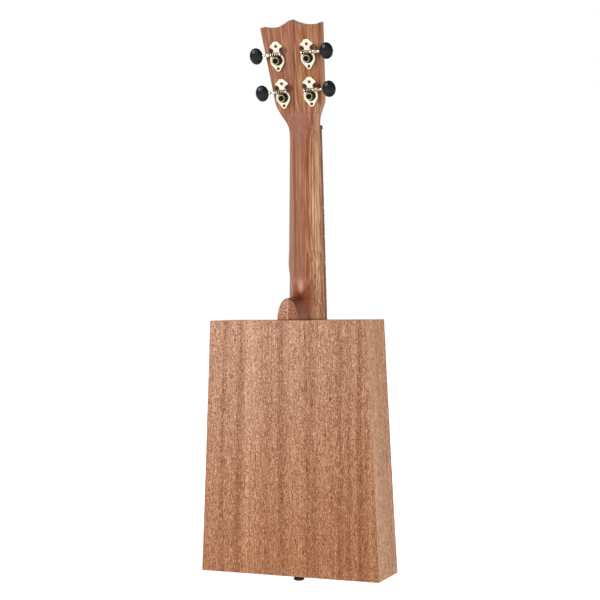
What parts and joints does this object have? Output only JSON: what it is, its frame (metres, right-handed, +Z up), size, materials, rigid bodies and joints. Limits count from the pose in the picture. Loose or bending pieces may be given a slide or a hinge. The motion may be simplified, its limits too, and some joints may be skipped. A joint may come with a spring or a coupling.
{
  "type": "cigar box ukulele",
  "caption": "Ukulele with a plain tapered box body, a heeled neck, a scooped headstock, and open worm-and-wheel tuners with black oval buttons.",
  "frame": {"origin": "on the centreline where the nut meets the fretboard, at the level of the soundboard's outer face; this is where a hanger's yoke holds the neck under the head", "axes": "+Z runs up the neck, +Y out of the back panel, -Y towards the strings, -X towards the fourth string"},
  "size_m": [0.203, 0.07, 0.6024],
  "materials": {
    "box_wood": "thin satin over open-pored reddish brown wood",
    "side_wood": "thin satin over lighter tan wood",
    "inner_wood": "bare sanded softwood",
    "neck_wood": "satin over red-brown wood",
    "fretboard_wood": "oiled dark wood",
    "nut_black": "satin black",
    "saddle_bone": "polished off-white",
    "string_nylon": "clear pale nylon",
    "plate_nickel": "bright nickel",
    "wheel_brass": "oily brass",
    "screw_dark": "blackened",
    "button_black": "satin black",
    "pin_black": "gloss black"
  },
  "bodies": {
    "instrument": {"soundboard": "box_wood", "back_panel": "box_wood", "side_wall_left": "side_wood", "side_wall_right": "side_wood", "neck_end_wall": "box_wood", "tail_wall": "box_wood", "neck_block": "inner_wood", "tail_block": "inner_wood", "soundboard_lining_left": "inner_wood", "soundboard_lining_right": "inner_wood", "back_lining_left": "inner_wood", "back_lining_right": "inner_wood", "soundboard_brace_upper": "inner_wood", "soundboard_brace_lower": "inner_wood", "back_brace_upper": "inner_wood", "back_brace_lower": "inner_wood", "bridge_plate": "inner_wood", "bridge": "fretboard_wood", "saddle": "saddle_bone", "end_pin": "pin_black", "neck": "neck_wood", "neck_dowel": "inner_wood", "fretboard": "fretboard_wood", "nut": "nut_black", "g_string": "string_nylon", "g_tuner_plate": "plate_nickel", "g_post_bushing": "plate_nickel", "c_string": "string_nylon", "c_tuner_plate": "plate_nickel", "c_post_bushing": "plate_nickel", "e_string": "string_nylon", "e_tuner_plate": "plate_nickel", "e_post_bushing": "plate_nickel", "a_string": "string_nylon", "a_tuner_plate": "plate_nickel", "a_post_bushing": "plate_nickel"},
    "g_key": {"g_worm_shaft": "plate_nickel", "g_tuner_button": "button_black"},
    "g_post": {"g_worm_wheel": "wheel_brass", "g_string_post": "plate_nickel", "g_string_winding": "string_nylon", "g_wheel_screw": "screw_dark"},
    "c_key": {"c_worm_shaft": "plate_nickel", "c_tuner_button": "button_black"},
    "c_post": {"c_worm_wheel": "wheel_brass", "c_string_post": "plate_nickel", "c_string_winding": "string_nylon", "c_wheel_screw": "screw_dark"},
    "e_key": {"e_worm_shaft": "plate_nickel", "e_tuner_button": "button_black"},
    "e_post": {"e_worm_wheel": "wheel_brass", "e_string_post": "plate_nickel", "e_string_winding": "string_nylon", "e_wheel_screw": "screw_dark"},
    "a_key": {"a_worm_shaft": "plate_nickel", "a_tuner_button": "button_black"},
    "a_post": {"a_worm_wheel": "wheel_brass", "a_string_post": "plate_nickel", "a_string_winding": "string_nylon", "a_wheel_screw": "screw_dark"}
  },
  "joints": [
    {"name": "g_key_turn", "type": "hinge", "parent": "instrument", "child": "g_key", "pos_m": [-0.0162, 0.02774, 0.03843], "axis": [1, 0, 0], "continuous": true},
    {"name": "g_post_turn", "type": "hinge", "parent": "instrument", "child": "g_post", "pos_m": [-0.0162, 0.02225, 0.0334], "axis": [0, 0.9617, -0.274], "continuous": true},
    {"name": "c_key_turn", "type": "hinge", "parent": "instrument", "child": "c_key", "pos_m": [-0.01785, 0.03878, 0.07719], "axis": [1, 0, 0], "continuous": true},
    {"name": "c_post_turn", "type": "hinge", "parent": "instrument", "child": "c_post", "pos_m": [-0.01785, 0.03329, 0.07215], "axis": [0, 0.9617, -0.274], "continuous": true},
    {"name": "e_key_turn", "type": "hinge", "parent": "instrument", "child": "e_key", "pos_m": [0.01785, 0.03878, 0.07719], "axis": [1, 0, 0], "continuous": true},
    {"name": "e_post_turn", "type": "hinge", "parent": "instrument", "child": "e_post", "pos_m": [0.01785, 0.03329, 0.07215], "axis": [0, 0.9617, -0.274], "continuous": true},
    {"name": "a_key_turn", "type": "hinge", "parent": "instrument", "child": "a_key", "pos_m": [0.0162, 0.02774, 0.03843], "axis": [1, 0, 0], "continuous": true},
    {"name": "a_post_turn", "type": "hinge", "parent": "instrument", "child": "a_post", "pos_m": [0.0162, 0.02225, 0.0334], "axis": [0, 0.9617, -0.274], "continuous": true}
  ],
  "couplings": [
    {"joint": "g_post_turn", "follows": "g_key_turn", "ratio": -0.071429},
    {"joint": "c_post_turn", "follows": "c_key_turn", "ratio": -0.071429},
    {"joint": "e_post_turn", "follows": "e_key_turn", "ratio": -0.071429},
    {"joint": "a_post_turn", "follows": "a_key_turn", "ratio": -0.071429}
  ]
}
